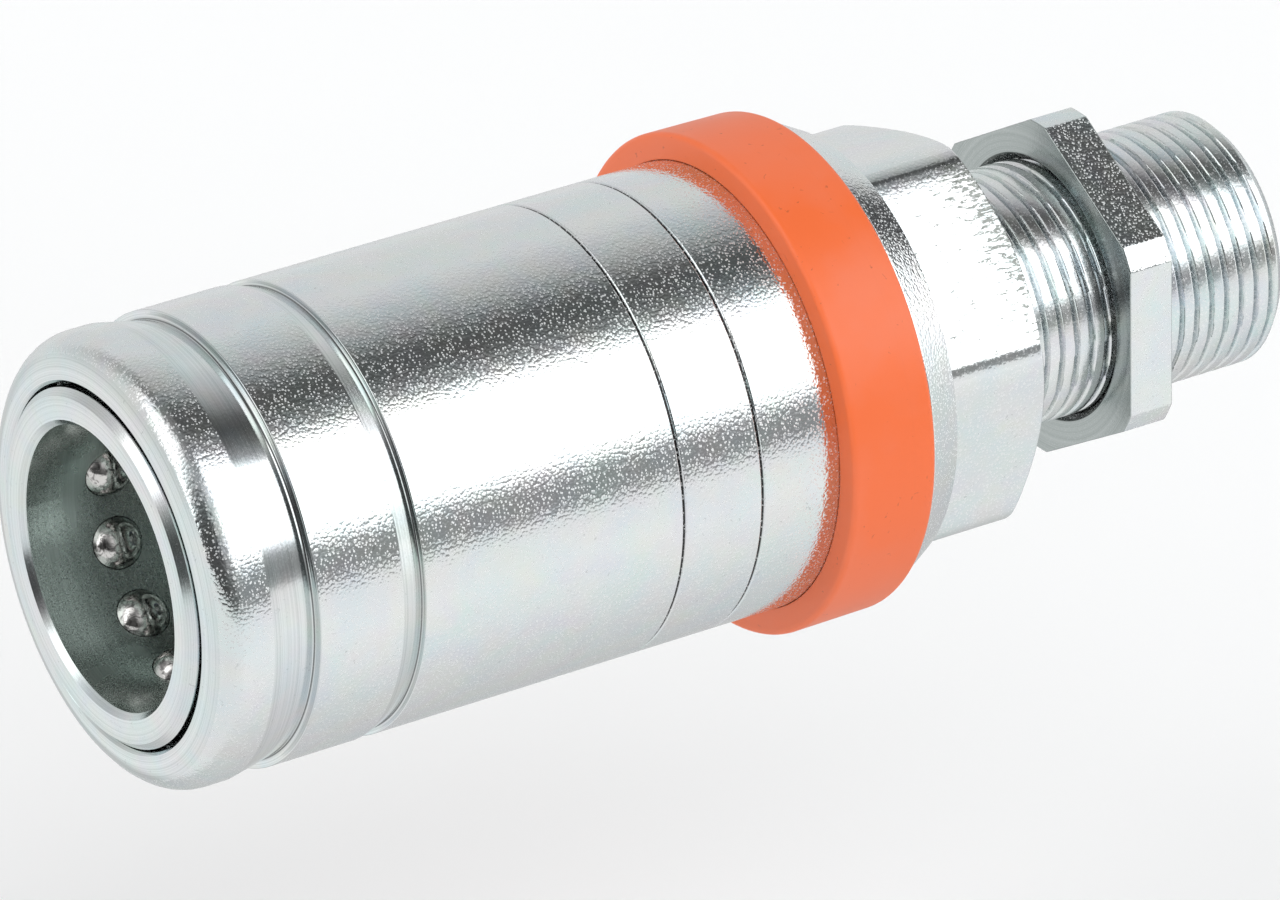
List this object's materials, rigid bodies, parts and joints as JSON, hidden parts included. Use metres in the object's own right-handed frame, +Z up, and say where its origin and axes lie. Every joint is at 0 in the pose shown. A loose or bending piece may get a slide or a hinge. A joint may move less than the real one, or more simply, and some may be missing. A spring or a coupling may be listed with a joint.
{
  "type": "push-pull hydraulic coupling",
  "caption": "Push-pull hydraulic quick coupling socket: sliding grip sleeve over a ring of locking balls, poppet valve inside, hexagon and bulkhead thread with jam nut.",
  "frame": {"origin": "on the coupling's axis, in the hexagon's rear face, which seats on the bulkhead plate", "axes": "+X along the axis from the plug socket to the threaded tube end, +Z up as in the picture"},
  "size_m": [0.1082, 0.0426, 0.0426],
  "materials": {
    "sleeve_plate": "bright zinc plated steel",
    "body_plate": "zinc plated steel, fine turned",
    "adapter_plate": "zinc plated steel",
    "nut_plate": "zinc plated steel",
    "ball_steel": "hardened and polished steel",
    "ring_plastic": "satin orange",
    "spring_steel": "spring wire",
    "clip_steel": "blackened spring steel",
    "washer_steel": "plain",
    "valve_steel": "turned",
    "seal_rubber": "black",
    "backup_plastic": "white",
    "valve_seal_plastic": "smooth"
  },
  "bodies": {
    "coupling_body": {"valve_body": "body_plate", "adapter": "adapter_plate", "locking_balls": "ball_steel", "bore_seal": "seal_rubber", "bore_backup_ring": "backup_plastic", "joint_seal": "seal_rubber", "joint_backup_ring": "backup_plastic", "poppet_guide": "valve_steel", "guide_circlip": "clip_steel", "front_centring_spring": "spring_steel", "rear_centring_spring": "spring_steel", "poppet_spring": "spring_steel"},
    "grip_sleeve": {"outer_sleeve": "sleeve_plate", "colour_ring": "ring_plastic", "front_spring_washer": "washer_steel", "rear_spring_washer": "washer_steel", "sleeve_circlip": "clip_steel"},
    "valve_poppet": {"poppet": "valve_steel", "poppet_tip": "valve_steel", "poppet_seal": "valve_seal_plastic"},
    "lock_nut": {"jam_nut": "nut_plate"}
  },
  "joints": [
    {"name": "sleeve_slide", "type": "slide", "parent": "coupling_body", "child": "grip_sleeve", "axis": [1, 0, 0], "range_m": [-0.0045, 0.0045], "stiffness_N_per_m": 8000, "deforming": ["front_centring_spring", "rear_centring_spring"]},
    {"name": "poppet_slide", "type": "slide", "parent": "coupling_body", "child": "valve_poppet", "axis": [1, 0, 0], "range_m": [0, 0.006], "stiffness_N_per_m": 2000, "deforming": ["poppet_spring"]},
    {"name": "jam_nut_turn", "type": "hinge", "parent": "coupling_body", "child": "lock_nut", "pos_m": [0.0123, 0, 0], "axis": [1, 0, 0], "continuous": true}
  ]
}
